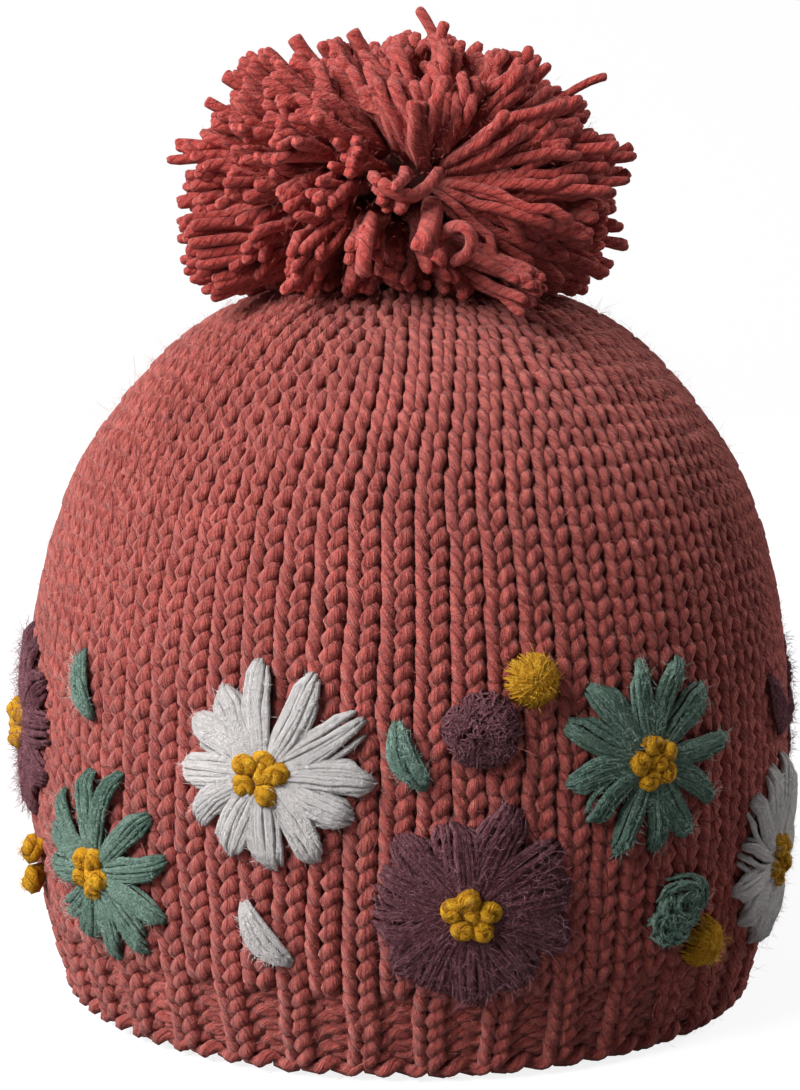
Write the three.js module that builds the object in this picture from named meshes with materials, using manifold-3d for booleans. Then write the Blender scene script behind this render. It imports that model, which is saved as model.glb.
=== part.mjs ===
// Knitted beanie: rib hem, plain knit crown with eight decrease lines, yarn pompom and a garland of
// embroidered daisies. Millimetres, +Z up. The origin is the middle of the hem, on the surface that it
// rests on, and the front faces -Y. Azimuth is 0 at the front and grows towards +X.
import * as THREE from 'three';
import { mergeVertices } from 'three/addons/utils/BufferGeometryUtils.js';
import Module from 'manifold-3d';

const wasm = await Module();
wasm.setup();

const { degToRad, lerp, smoothstep } = THREE.MathUtils;

// Driving dimensions
const wall = 5; // thickness of the knit, two strands deep
const seatGap = 0.3; // clearance between pieces that lie on each other
const band = { height: 18, ribs: 36, columnsPerRib: 4, ribDepth: 1.8, hemRounding: 1.2, hemCorner: 2.5 };
const crown = { segments: 64, outerRings: 12, innerRings: 9 };
const decreases = { panels: 8, firstLine: -28, start: 128, full: 150, depth: 1.3, turn: 8, end: 4 };

// Outline of the knit: height above the hem and outer radius
const outline = [
  { height: 0, radius: 82.5 },
  { height: 18, radius: 87.2 },
  { height: 40, radius: 90.3 },
  { height: 66, radius: 91.1 },
  { height: 96, radius: 88.3 },
  { height: 126, radius: 78.6 },
  { height: 150, radius: 61 },
  { height: 162, radius: 45.8 },
  { height: 168.6, radius: 28 },
  { height: 171, radius: 0 },
];

const pompom = {
  centre: new THREE.Vector3(-1.5, 0, 197),
  halfWidth: 56,
  halfHeight: 35,
  core: 0.74, // size of the head as a share of the whole
  locks: 54,
  lockRadius: 7.8,
  seatFrom: 140, // height where the crown starts to shape its underside
};

const daisy = { petals: 12, reach: 22.5, hubLift: 2, knots: 5, knotRadius: 3.6, knotRing: 3.7 };

// One petal from hub to tip: distance as a share of the reach, half width, thickness
const petalRows = [
  { along: 0.2, half: 1.05, lift: 2 },
  { along: 0.78, half: 3.3, lift: 2.6 },
];

// A padded leaf stitch from tip to tip: place along its length, half width and lift as shares of the whole
const leafRows = [
  { along: 0.22, half: 0.75, lift: 0.85 },
  { along: 0.55, half: 1, lift: 1 },
  { along: 0.85, half: 0.7, lift: 0.8 },
];

// Daisies of the garland: azimuth and height of the middle, turn of the first petal in degrees
const daisies = [
  { name: 'white_front', yarn: 'white', azimuth: -19.5, height: 69.5, turn: 2 },
  { name: 'plum_front', yarn: 'plum', azimuth: 8, height: 40, turn: 8 },
  { name: 'green_right', yarn: 'green', azimuth: 34.5, height: 69.5, turn: 4 },
  { name: 'white_right', yarn: 'white', azimuth: 67.5, height: 38, turn: 12 },
  { name: 'plum_right', yarn: 'plum', azimuth: 101, height: 66, turn: 5 },
  { name: 'green_back', yarn: 'green', azimuth: 132, height: 40, turn: 10 },
  { name: 'white_back', yarn: 'white', azimuth: 163, height: 68, turn: 0 },
  { name: 'plum_back', yarn: 'plum', azimuth: 194, height: 39, turn: 9 },
  { name: 'green_back_left', yarn: 'green', azimuth: 223, height: 68, turn: 3 },
  { name: 'white_left', yarn: 'white', azimuth: 251, height: 39, turn: 14 },
  { name: 'plum_left', yarn: 'plum', azimuth: 280.5, height: 66, turn: 6 },
  { name: 'green_left', yarn: 'green', azimuth: 310.5, height: 41.5, turn: 11 },
];

// Tufted dots: radius and height off the knit
const dots = [
  { name: 'plum_dot', yarn: 'plum', azimuth: 9.8, height: 79.5, radius: 8.3, lift: 3 },
  { name: 'mustard_dot', yarn: 'mustard', azimuth: 16.8, height: 89.5, radius: 5.9, lift: 4.2 },
  { name: 'green_rosette', yarn: 'green', azimuth: 40.2, height: 35.5, radius: 8, lift: 3.4 },
  { name: 'mustard_dot_right', yarn: 'mustard', azimuth: 46.8, height: 26, radius: 5.8, lift: 4.2 },
  { name: 'mustard_knots_left', yarn: 'mustard', azimuth: 286.4, height: 35.5, radius: 6.4, lift: 4.4 },
  { name: 'mustard_dot_back', yarn: 'mustard', azimuth: 148, height: 91, radius: 5.9, lift: 4.2 },
  { name: 'plum_dot_back', yarn: 'plum', azimuth: 166, height: 32, radius: 6, lift: 3 },
  { name: 'green_rosette_back', yarn: 'green', azimuth: 223, height: 34, radius: 6, lift: 3.4 },
];

// Leaf stitches: length, width, lean from upright in degrees (positive leans to the right)
const leaves = [
  {
    name: 'leaf_green_front', yarn: 'green', azimuth: -0.2, height: 74,
    length: 15.5, width: 5.6, lean: -22,
  },
  {
    name: 'leaf_white_front', yarn: 'white', azimuth: -20.2, height: 33.6,
    length: 17, width: 6.2, lean: -37,
  },
  {
    name: 'leaf_green_left', yarn: 'green', azimuth: 308.5, height: 83,
    length: 15.5, width: 5.4, lean: -24,
  },
  {
    name: 'leaf_plum_right', yarn: 'plum', azimuth: 68, height: 73.5,
    length: 17, width: 5.6, lean: -28,
  },
  {
    name: 'leaf_green_back', yarn: 'green', azimuth: 182, height: 76,
    length: 15.5, width: 5.6, lean: 20,
  },
  {
    name: 'leaf_white_back', yarn: 'white', azimuth: 152, height: 33,
    length: 16, width: 6, lean: 30,
  },
  {
    name: 'leaf_green_back_left', yarn: 'green', azimuth: 254, height: 76,
    length: 15.5, width: 5.6, lean: -20,
  },
];

const yarns = {
  rose: { color: 0xa95d56, roughness: 0.92, metalness: 0 },
  pompom: { color: 0x9f4a45, roughness: 0.94, metalness: 0 },
  white: { color: 0xe6e2dd, roughness: 0.95, metalness: 0 },
  plum: { color: 0x6f4450, roughness: 0.95, metalness: 0 },
  green: { color: 0x6f9385, roughness: 0.95, metalness: 0 },
  mustard: { color: 0xc79328, roughness: 0.95, metalness: 0 },
};

// The outline as a smooth curve, x outwards and z up
const section = new THREE.CatmullRomCurve3(
  outline.map(({ height, radius }) => new THREE.Vector3(radius, 0, height)), false, 'centripetal');
section.arcLengthDivisions = 500;
const sectionLength = section.getLength();

// Length along the outline, from the hem up to a height
function arcAt(height) {
  let low = 0;
  let high = 1;
  for (let step = 0; step < 30; step += 1) {
    const middle = (low + high) / 2;
    if (section.getPointAt(middle).z < height) low = middle;
    else high = middle;
  }
  return low * sectionLength;
}

// Radius and height at a length along the outline, lifted off it (outwards where positive)
function profilePoint(arc, lift) {
  const share = THREE.MathUtils.clamp(arc / sectionLength, 0, 1);
  const at = section.getPointAt(share);
  const along = section.getTangentAt(share);
  return new THREE.Vector2(Math.max(0, at.x + lift * along.z), at.z - lift * along.x);
}

function around(azimuth, radius, height) {
  return new THREE.Vector3(radius * Math.sin(azimuth), -radius * Math.cos(azimuth), height);
}

// Numbers from 0 to 1 that are the same every time
function seeded(seed) {
  let state = seed;
  return () => {
    state = (state * 1664525 + 1013904223) % 4294967296;
    return state / 4294967296;
  };
}

function meshFrom(corners, faces) {
  const geometry = new THREE.BufferGeometry();
  geometry.setAttribute('position', new THREE.Float32BufferAttribute(corners.flat(), 3));
  geometry.setIndex(faces.flat());
  return geometry;
}

// Shared corners are merged, and triangles that have closed up at a pole are left out
function welded(geometry) {
  const bare = geometry.clone();
  bare.deleteAttribute('normal');
  bare.deleteAttribute('uv');
  const merged = mergeVertices(bare, 1e-4);
  const index = [...merged.index.array];
  const kept = [];
  for (let face = 0; face < index.length; face += 3) {
    const [a, b, c] = index.slice(face, face + 3);
    if (a !== b && b !== c && c !== a) kept.push(a, b, c);
  }
  merged.setIndex(kept);
  return merged;
}

function toSolid(geometry) {
  const { attributes, index } = welded(geometry);
  return new wasm.Manifold(new wasm.Mesh({
    numProp: 3,
    vertProperties: new Float32Array(attributes.position.array),
    triVerts: new Uint32Array(index.array),
  }));
}

function fromSolid(solid) {
  const { numProp, vertProperties, triVerts } = solid.getMesh();
  const geometry = new THREE.BufferGeometry();
  geometry.setAttribute('position', new THREE.BufferAttribute(new Float32Array(vertProperties), numProp));
  geometry.setIndex([...triVerts]);
  return geometry;
}

const fused = (geometries) => geometries.map(toSolid).reduce((whole, next) => whole.add(next));

// A closed section of [radius, height] points, counterclockwise with the axis on its left, turned round +Z.
// The mesh's azimuth is measured as the hat's is.
function turned(points, segments) {
  const geometry = new THREE.LatheGeometry(points, segments);
  geometry.rotateX(Math.PI / 2);
  return welded(geometry);
}

// Each vertex is moved by a function of its azimuth, radius and height that gives the new three
function reshaped(geometry, change) {
  const position = geometry.attributes.position;
  for (let corner = 0; corner < position.count; corner += 1) {
    const at = new THREE.Vector3().fromBufferAttribute(position, corner);
    const azimuth = Math.atan2(at.x, -at.y);
    const next = change(azimuth, Math.hypot(at.x, at.y), at.z);
    const placed = around(next.azimuth, next.radius, next.height);
    position.setXYZ(corner, placed.x, placed.y, placed.z);
  }
  return geometry;
}

// Rib hem: a ring whose outer face rises and falls with each rib, rounded in at the cast-on edge
function ribBand() {
  const radiusAt = (height) => profilePoint(arcAt(height), 0).x;
  const heights = [0, band.hemCorner, band.height];
  const outer = heights.map((height) => new THREE.Vector2(radiusAt(height), height));
  outer[0].x -= band.hemRounding;
  const inner = [band.height, 0].map((height) => new THREE.Vector2(radiusAt(height) - wall, height));
  const ring = turned([...outer, ...inner, outer[0].clone()], band.ribs * band.columnsPerRib);
  return reshaped(ring, (azimuth, radius, height) => {
    const outside = radius > radiusAt(height) - wall / 2;
    const purl = Math.cos(azimuth * band.ribs + Math.PI / band.columnsPerRib) < 0;
    return { azimuth, radius: radius - (outside && purl ? band.ribDepth : 0), height };
  });
}

// Crown: a dome shell that is open below. The decrease lines are shallow grooves that turn as they climb.
function crownShell() {
  const low = arcAt(band.height + seatGap);
  const outer = [];
  for (let ring = 0; ring <= crown.outerRings; ring += 1) {
    outer.push(profilePoint(lerp(low, sectionLength, ring / crown.outerRings), 0));
  }
  const inner = [];
  for (let ring = 0; ring <= crown.innerRings; ring += 1) {
    inner.push(profilePoint(lerp(sectionLength, low, ring / crown.innerRings), -wall));
  }
  outer.at(-1).x = 0;
  inner[0].x = 0;
  inner.at(-1).y = outer[0].y;
  const shell = turned([...outer, ...inner, outer[0].clone()], crown.segments);
  return reshaped(shell, (azimuth, radius, height) => {
    const climbed = smoothstep(height, decreases.start, decreases.full);
    const spacing = (2 * Math.PI) / decreases.panels;
    const nearest = Math.abs((((azimuth / spacing) % 1) + 1.5) % 1 - 0.5) * decreases.panels;
    const groove = Math.max(0, 1 - nearest) * climbed * decreases.depth;
    const turn = degToRad(decreases.firstLine + decreases.turn * climbed);
    return { azimuth: azimuth + turn, radius: radius - (radius > decreases.end ? groove : 0), height };
  });
}

// One lock of yarn along +Z from the heart of the pompom: swelling outwards to a blunt end
function lock(length) {
  const rows = [
    { radius: 0, along: 0.5 },
    { radius: 0.5, along: 0.56 },
    { radius: 1, along: 0.88 },
    { radius: 0, along: 1 },
  ];
  return turned(rows.map(({ radius, along }) =>
    new THREE.Vector2(radius * pompom.lockRadius, along * length)), 5);
}

// Pompom: a flattened head with locks fused all round it, and its underside fitted to the crown
function pompomBody() {
  const random = seeded(7);
  const head = new THREE.IcosahedronGeometry(1, 1);
  head.scale(...[pompom.halfWidth, pompom.halfHeight, pompom.halfWidth].map((half) => half * pompom.core));
  head.rotateX(Math.PI / 2);
  const locks = [];
  for (let count = 0; count < pompom.locks; count += 1) {
    const rise = 1 - (2 * (count + 0.5)) / pompom.locks;
    const azimuth = count * Math.PI * (3 - Math.sqrt(5));
    const level = Math.sqrt(1 - rise * rise);
    const aim = new THREE.Vector3(level * Math.cos(azimuth), level * Math.sin(azimuth), rise);
    const reach = 1 / Math.hypot(level / pompom.halfWidth, rise / pompom.halfHeight);
    const one = lock(reach * lerp(0.93, 1.04, random()));
    one.applyQuaternion(new THREE.Quaternion().setFromUnitVectors(new THREE.Vector3(0, 0, 1), aim));
    locks.push(one);
  }
  const whole = fromSolid(fused([head, ...locks]));
  whole.translate(...pompom.centre);
  const seat = [];
  const low = arcAt(pompom.seatFrom);
  const rings = 6;
  for (let ring = 0; ring <= rings; ring += 1) {
    seat.push(profilePoint(lerp(low, sectionLength, ring / rings), 2 * seatGap));
  }
  seat.at(-1).x = 0;
  const cap = turned([new THREE.Vector2(0, seat[0].y), ...seat], crown.segments);
  return fromSolid(toSolid(whole).subtract(toSolid(cap)));
}

// A flat shape with +x to the right, +y up and +z off the knit, laid on the knit round its middle
function laidOnKnit(geometry, azimuth, height) {
  const position = geometry.attributes.position;
  const middle = arcAt(height);
  const radius = profilePoint(middle, 0).x;
  for (let corner = 0; corner < position.count; corner += 1) {
    const turn = degToRad(azimuth) + position.getX(corner) / radius;
    const at = profilePoint(middle + position.getY(corner), seatGap + position.getZ(corner));
    position.setXYZ(corner, ...around(turn, at.x, at.y));
  }
  return geometry;
}

// A padded strip between rows of left, ridge and right corners: two slopes above and a flat underneath
function stripFaces(rows) {
  return rows.slice(1).flatMap((next, row) => {
    const last = rows[row];
    return [
      [last.right, next.right, next.ridge], [last.right, next.ridge, last.ridge],
      [last.ridge, next.ridge, next.left], [last.ridge, next.left, last.left],
      [last.right, last.left, next.left], [last.right, next.left, next.right],
    ];
  });
}

const tipFaces = (row, tip) => [
  [row.right, tip, row.ridge], [row.ridge, tip, row.left], [row.right, row.left, tip],
];

// Petals in one piece: a domed hub with a padded strip for each petal
function petalStar(turn) {
  const corners = [[0, 0, daisy.hubLift], [0, 0, 0]];
  const faces = [];
  const rim = [];
  const underRim = [];
  for (let petal = 0; petal < daisy.petals; petal += 1) {
    const angle = degToRad(turn + (petal * 360) / daisy.petals);
    const place = (along, across, lift) => corners.push([
      along * Math.cos(angle) - across * Math.sin(angle),
      along * Math.sin(angle) + across * Math.cos(angle),
      lift,
    ]) - 1;
    const rows = petalRows.map(({ along, half, lift }) => ({
      right: place(along * daisy.reach, -half, 0),
      ridge: place(along * daisy.reach, 0, lift),
      left: place(along * daisy.reach, half, 0),
    }));
    const tip = place(daisy.reach, 0, 0.4);
    faces.push(...stripFaces(rows), ...tipFaces(rows.at(-1), tip));
    rim.push(rows[0].right, rows[0].ridge, rows[0].left);
    underRim.push(rows[0].right, rows[0].left);
  }
  rim.forEach((corner, at) => faces.push([0, corner, rim[(at + 1) % rim.length]]));
  underRim.forEach((corner, at) => faces.push([1, underRim[(at + 1) % underRim.length], corner]));
  return meshFrom(corners, faces);
}

// Knots of the centre: one in the middle and the others in a ring, fused
function knotCluster() {
  const knots = [];
  for (let knot = 0; knot < daisy.knots; knot += 1) {
    const one = new THREE.IcosahedronGeometry(daisy.knotRadius, 0);
    const angle = (knot * 2 * Math.PI) / (daisy.knots - 1);
    const ring = knot === 0 ? 0 : daisy.knotRing;
    const lift = daisy.hubLift + seatGap + daisy.knotRadius * (knot === 0 ? 1 : 0.9);
    one.rotateZ(angle);
    one.translate(ring * Math.cos(angle), ring * Math.sin(angle), lift);
    knots.push(one);
  }
  return fromSolid(fused(knots));
}

// Tufted dot: a low dome
function domedDot(radius, lift) {
  const rows = [[0, 0], [1, 0], [0.95, 0.5], [0.6, 0.88], [0, 1]];
  return turned(rows.map(([out, up]) => new THREE.Vector2(out * radius, up * lift)), 12);
}

// Leaf stitch: a padded strip that ends in a point at both ends
function leafStitch({ length, width, lean }) {
  const thickness = 2.2;
  const corners = [[0, -length / 2, 0.3], [0, length / 2, 0.3]];
  const rows = leafRows.map(({ along, half, lift }) => {
    const place = (across, up) => corners.push([across, (along - 0.5) * length, up]) - 1;
    return {
      right: place((half * width) / 2, 0),
      ridge: place(0, lift * thickness),
      left: place((-half * width) / 2, 0),
    };
  });
  const rootFaces = tipFaces(rows[0], 0).map(([a, b, c]) => [a, c, b]);
  const geometry = meshFrom(corners, [...rootFaces, ...stripFaces(rows), ...tipFaces(rows.at(-1), 1)]);
  geometry.rotateZ(-degToRad(lean));
  return geometry;
}

const hat = new THREE.Group();

function addPiece(name, yarn, geometry) {
  const shown = geometry.toNonIndexed();
  shown.computeVertexNormals();
  const mesh = new THREE.Mesh(shown, new THREE.MeshStandardMaterial(yarns[yarn]));
  mesh.name = name;
  hat.add(mesh);
}

addPiece('rib_band', 'rose', ribBand());
addPiece('crown', 'rose', crownShell());
addPiece('pompom', 'pompom', pompomBody());
for (const { name, yarn, azimuth, height, turn } of daisies) {
  addPiece(`daisy_${name}_petals`, yarn, laidOnKnit(petalStar(turn), azimuth, height));
  addPiece(`daisy_${name}_centre`, 'mustard', laidOnKnit(knotCluster(), azimuth, height));
}
for (const { name, yarn, azimuth, height, radius, lift } of dots) {
  addPiece(name, yarn, laidOnKnit(domedDot(radius, lift), azimuth, height));
}
for (const leaf of leaves) {
  addPiece(leaf.name, leaf.yarn, laidOnKnit(leafStitch(leaf), leaf.azimuth, leaf.height));
}

export default hat;
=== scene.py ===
import math

import bpy
import numpy as np
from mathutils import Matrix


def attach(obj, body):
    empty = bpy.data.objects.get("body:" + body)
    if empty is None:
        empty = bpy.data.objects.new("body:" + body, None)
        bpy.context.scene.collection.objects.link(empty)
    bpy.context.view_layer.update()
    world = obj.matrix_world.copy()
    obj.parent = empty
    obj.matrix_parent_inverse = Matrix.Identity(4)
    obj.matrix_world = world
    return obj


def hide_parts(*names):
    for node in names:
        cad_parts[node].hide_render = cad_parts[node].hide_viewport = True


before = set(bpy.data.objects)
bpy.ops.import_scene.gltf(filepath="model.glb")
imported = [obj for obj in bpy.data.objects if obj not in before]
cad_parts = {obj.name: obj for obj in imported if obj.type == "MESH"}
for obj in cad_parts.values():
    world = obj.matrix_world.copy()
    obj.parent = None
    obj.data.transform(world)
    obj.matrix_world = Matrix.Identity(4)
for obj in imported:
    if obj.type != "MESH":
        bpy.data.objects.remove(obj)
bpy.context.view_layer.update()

mm = 0.001
fullTurn = 2 * math.pi
# The first seed of each kind of piece
seeds = {"rows": 100, "tufts": 23, "petals": 300, "petalFuzz": 500, "spots": 340, "knots": 360,
         "centreFuzz": 530, "dots": 400, "dotFuzz": 560, "leaves": 430, "leafFuzz": 590, "fibres": 77}

# Camera: distance in front of the middle, height and sideways place in mm, pitch down in degrees and lens in
# mm, then its focal length and the photograph's middle in the photograph's pixels
view = {"distance": 680, "height": 203.5, "side": -1.9, "pitch": 8.16, "lens": 94.8,
        "focal": 2870, "middle": (400, 545)}

# Outline of the knit from hem to closed top: height above the hem and outer radius, in mm
outline = {
    "height": [0, 18, 40, 66, 96, 126, 150, 162, 168.6, 171],
    "radius": [82.5, 87.2, 90.3, 91.1, 88.3, 78.6, 61, 45.8, 28, 0],
    "pointsPerSpan": 60,
}


def smoothOutline():
    # Centripetal Catmull-Rom curve through the rows: each span is a cubic, and its end slopes come from the
    # rows on either side, weighted by the square root of the distances between them
    rows = np.column_stack([outline["radius"], outline["height"]]).astype(float)
    rows = np.vstack([2 * rows[0] - rows[1], rows, 2 * rows[-1] - rows[-2]])
    steps = np.sqrt(np.linalg.norm(np.diff(rows, axis=0), axis=1))
    share = np.linspace(0, 1, outline["pointsPerSpan"], endpoint=False)[:, None]
    spans = []
    for first in range(len(rows) - 3):
        before, start, end, after = rows[first:first + 4]
        d0, d1, d2 = steps[first:first + 3]
        slopeStart = ((start - before) / d0 - (end - before) / (d0 + d1) + (end - start) / d1) * d1
        slopeEnd = ((end - start) / d1 - (after - start) / (d1 + d2) + (after - end) / d2) * d1
        square = 3 * (end - start) - 2 * slopeStart - slopeEnd
        cube = 2 * (start - end) + slopeStart + slopeEnd
        spans.append(start + slopeStart * share + square * share**2 + cube * share**3)
    return np.vstack(spans + [rows[-2:-1]])


curve = smoothOutline()
arcs = np.concatenate([[0], np.cumsum(np.linalg.norm(np.diff(curve, axis=0), axis=1))])
fullArc = arcs[-1]
uphill = np.gradient(curve, arcs, axis=0)
uphill /= np.linalg.norm(uphill, axis=1, keepdims=True)


def radiusAt(arc):
    return np.interp(arc, arcs, curve[:, 0])


def heightAt(arc):
    return np.interp(arc, arcs, curve[:, 1])


def arcOf(height):
    return np.interp(height, curve[:, 1], arcs)


def facing(azimuth, out, up):
    # That far out from the axis at the azimuth, and that far up. Azimuth 0 is the front, -Y, and it grows
    # towards +X.
    return np.stack(np.broadcast_arrays(out * np.sin(azimuth), -out * np.cos(azimuth), up), -1)


def outwardAt(azimuth, arc):
    # The outline's normal in its own plane, turned to the azimuth
    return facing(azimuth, np.interp(arc, arcs, uphill[:, 1]), -np.interp(arc, arcs, uphill[:, 0]))


def onKnit(azimuth, arc, lift):
    # The outline's point at that length up from the hem, pushed out along its normal by the lift
    base = facing(azimuth, radiusAt(arc), heightAt(arc))
    return base + np.asarray(lift)[..., None] * outwardAt(azimuth, arc)


def eased(share):
    share = np.clip(share, 0, 1)
    return share * share * (3 - 2 * share)


def unit(vectors):
    return vectors / np.linalg.norm(vectors, axis=-1, keepdims=True)


def ringQuads(rows, columns, closed=False):
    # Quads between rows of corners that go round, and from the last row to the first where the rows close
    row = np.arange(rows if closed else rows - 1)[:, None]
    column = np.arange(columns)[None, :]
    above = (row + 1) % rows * columns
    following = (column + 1) % columns
    row = row * columns
    corners = (row + column, row + following, above + following, above + column)
    return np.stack(corners, -1).reshape(-1, 4)


def roundSections(paths, run, guide, radius, turn):
    # The corners round each point of a path: the radius times the cosine of the turn along the guide, squared
    # up to the run of the yarn, and its sine across it
    out = unit(guide - run * np.sum(guide * run, -1, keepdims=True))
    across = np.cross(run, out)
    section = np.cos(turn)[:, None] * out[:, :, None] + np.sin(turn)[:, None] * across[:, :, None]
    return paths[:, :, None] + radius * section


def sweep(paths, guide, radius, sides, closed=False):
    # A round section carried along each path. paths is strands x points x 3, guide the same, radius strands x
    # points. The yarn coordinates are the mm along a strand and the turns round it.
    strands, points, _ = paths.shape
    if closed:
        run = unit(np.roll(paths, -1, 1) - np.roll(paths, 1, 1))
    else:
        run = unit(np.gradient(paths, axis=1))
    turn = fullTurn * np.arange(sides) / sides + math.pi
    rings = roundSections(paths, run, guide, radius[:, :, None, None], turn)
    first = np.arange(strands)[:, None] * points * sides
    quads = (ringQuads(points, sides, closed)[None] + first[:, :, None]).reshape(-1, 4)
    steps = np.linalg.norm(np.roll(paths, -1, 1) - paths, axis=-1)
    along = np.concatenate([np.zeros((strands, 1)), np.cumsum(steps, 1)], 1)
    if not closed:
        along = along[:, :points]
    low, high, turns = np.broadcast_arrays(along[:, :-1, None], along[:, 1:, None], np.arange(sides) / sides)
    further = turns + 1 / sides
    corners = ((low, turns), (low, further), (high, further), (high, turns))
    quadUv = np.stack([np.stack(corner, -1) for corner in corners], -2).reshape(-1, 4, 2)
    part = {"points": rings.reshape(-1, 3), "faces": [quads], "uv": [quadUv]}
    if not closed:
        start = first + np.arange(sides)[None, ::-1]
        end = first + (points - 1) * sides + np.arange(sides)[None, :]
        for cap, reach in ((start, along[:, :1]), (end, along[:, -1:])):
            part["faces"].append(cap)
            part["uv"].append(np.stack([reach + 0 * cap, 0.5 + 0 * cap], -1))
    return part


def plainPart(points, faces):
    # A part whose yarn coordinates are its own width and height
    return {"points": points, "faces": faces, "uv": [points[group][..., [0, 2]] for group in faces]}


def skin(points, closed=False):
    # Quads over rows of points, rows x columns x 3, joined round each row. Where the profile is closed, the
    # last row is joined to the first; otherwise the end rows are capped.
    rows, columns, _ = points.shape
    faces = [ringQuads(rows, columns, closed)]
    if not closed:
        faces += [np.arange(columns)[None, ::-1], (rows - 1) * columns + np.arange(columns)[None, :]]
    return plainPart(points.reshape(-1, 3), faces)


def addObject(name, data):
    added = bpy.data.objects.new(name, data)
    bpy.context.scene.collection.objects.link(added)
    return added


def makePiece(name, parts, material, replaced):
    # All parts joined into one mesh, in metres, with its yarn coordinates in the UV map
    offsets = np.cumsum([0] + [len(part["points"]) for part in parts[:-1]])
    points = np.concatenate([part["points"] for part in parts]) * mm
    faces = [faces + offset for part, offset in zip(parts, offsets) for faces in part["faces"]]
    uv = np.concatenate([uv.reshape(-1, 2) for part in parts for uv in part["uv"]])
    sizes = np.concatenate([np.full(len(group), group.shape[1]) for group in faces])
    corners = np.concatenate([group.ravel() for group in faces])
    mesh = bpy.data.meshes.new(name)
    mesh.vertices.add(len(points))
    mesh.vertices.foreach_set("co", points.astype(np.float32).ravel())
    mesh.loops.add(len(corners))
    mesh.loops.foreach_set("vertex_index", corners.astype(np.int32))
    mesh.polygons.add(len(sizes))
    mesh.polygons.foreach_set("loop_start", np.concatenate([[0], np.cumsum(sizes[:-1])]).astype(np.int32))
    mesh.polygons.foreach_set("use_smooth", np.ones(len(sizes), bool))
    mesh.uv_layers.new(name="yarn").data.foreach_set("uv", uv.astype(np.float32).ravel())
    mesh.update(calc_edges=True)
    mesh.validate()
    mesh.materials.append(material)
    piece = addObject(name, mesh)
    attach(piece, "root")
    if replaced:
        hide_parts(*replaced)
    print(f"{name}: {int(np.sum(sizes - 2))} triangles")
    return piece


def noiseTexture(nodes, links, place, settings):
    noise = nodes.new("ShaderNodeTexNoise")
    for name, value in settings.items():
        noise.inputs[name].default_value = value
    links.new(place, noise.inputs["Vector"])
    return noise.outputs["Fac"]


def colourRamp(nodes, links, value, stops):
    # The colours that a value picks, each with its place from 0 to 1
    ramp = nodes.new("ShaderNodeValToRGB")
    elements = ramp.color_ramp.elements
    for place, _ in stops[1:-1]:
        elements.new(place)
    for element, (place, colour) in zip(elements, stops):
        element.position = place
        element.color = (*colour, 1)
    links.new(value, ramp.inputs["Fac"])
    return ramp.outputs["Color"]


# Shader group: the plies of a spun yarn, its fine fibres along it, and a felt of fibres that lie every way.
# The lengths are in mm, the place in metres. It puts out a height, and a mask for the colour: dark between
# the plies as painted shade, light on the plies and fibre streaks as painted highlight.
yarnInputs = {"Plies": 3.0, "Twist": 14.0, "Fibres": 1.0, "Girth": 1.8, "Felt": 0.4}


def yarnGroup():
    group = bpy.data.node_groups.new("spunYarn", "ShaderNodeTree")
    face = group.interface
    for name, value in yarnInputs.items():
        face.new_socket(name=name, in_out="INPUT", socket_type="NodeSocketFloat").default_value = value
    for name in ("Yarn", "Place"):
        face.new_socket(name=name, in_out="INPUT", socket_type="NodeSocketVector")
    for name in ("Height", "Mask"):
        face.new_socket(name=name, in_out="OUTPUT", socket_type="NodeSocketFloat")
    nodes, links = group.nodes, group.links
    inward = nodes.new("NodeGroupInput")
    outward = nodes.new("NodeGroupOutput")

    def calculated(operation, a, b=None):
        node = nodes.new("ShaderNodeMath")
        node.operation = operation
        for socket, value in zip(node.inputs, (a, b)):
            if isinstance(value, (int, float)):
                socket.default_value = value
            elif value is not None:
                links.new(value, socket)
        return node.outputs[0]

    def added(a, b):
        return calculated("ADD", a, b)

    def times(a, b):
        return calculated("MULTIPLY", a, b)

    split = nodes.new("ShaderNodeSeparateXYZ")
    links.new(inward.outputs["Yarn"], split.inputs[0])
    along, about = split.outputs["X"], split.outputs["Y"]
    angle = times(added(about, calculated("DIVIDE", along, inward.outputs["Twist"])), fullTurn)
    wave = calculated("SINE", times(times(angle, 0.5), inward.outputs["Plies"]))
    ply = calculated("POWER", calculated("ABSOLUTE", wave), 0.5)
    # The fibres are noise on a tube of the yarn's girth, stretched along it
    tube = nodes.new("ShaderNodeCombineXYZ")
    links.new(times(calculated("COSINE", angle), inward.outputs["Girth"]), tube.inputs[0])
    links.new(times(calculated("SINE", angle), inward.outputs["Girth"]), tube.inputs[1])
    links.new(times(along, 0.2), tube.inputs[2])
    fibre = noiseTexture(nodes, links, tube.outputs[0], {"Scale": 2.0, "Detail": 3.0, "Roughness": 0.65})
    felt = noiseTexture(nodes, links, inward.outputs["Place"],
                        {"Scale": 1100.0, "Detail": 3.0, "Distortion": 1.8})
    streaks = calculated("SUBTRACT", fibre, 0.5)
    tangle = times(calculated("SUBTRACT", felt, 0.5), inward.outputs["Felt"])
    high = added(times(ply, 0.7), times(streaks, inward.outputs["Fibres"]))
    links.new(added(high, times(tangle, 1.6)), outward.inputs["Height"])
    # Painted shade between the plies and painted highlight on them and on the fibre streaks; the felt varies
    # the tone at random
    mixed = added(added(times(ply, 0.5), times(streaks, 1.4)), times(tangle, 1.8))
    links.new(added(mixed, 0.12), outward.inputs["Mask"])
    return group


spunYarn = yarnGroup()


def fromScreen(red, green, blue):
    # A colour read off a screen, 0 to 255, as the linear light that a shader takes
    value = np.array([red, green, blue]) / 255
    return tuple(np.where(value <= 0.04045, value / 12.92, ((value + 0.055) / 1.055) ** 2.4).tolist())


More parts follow.
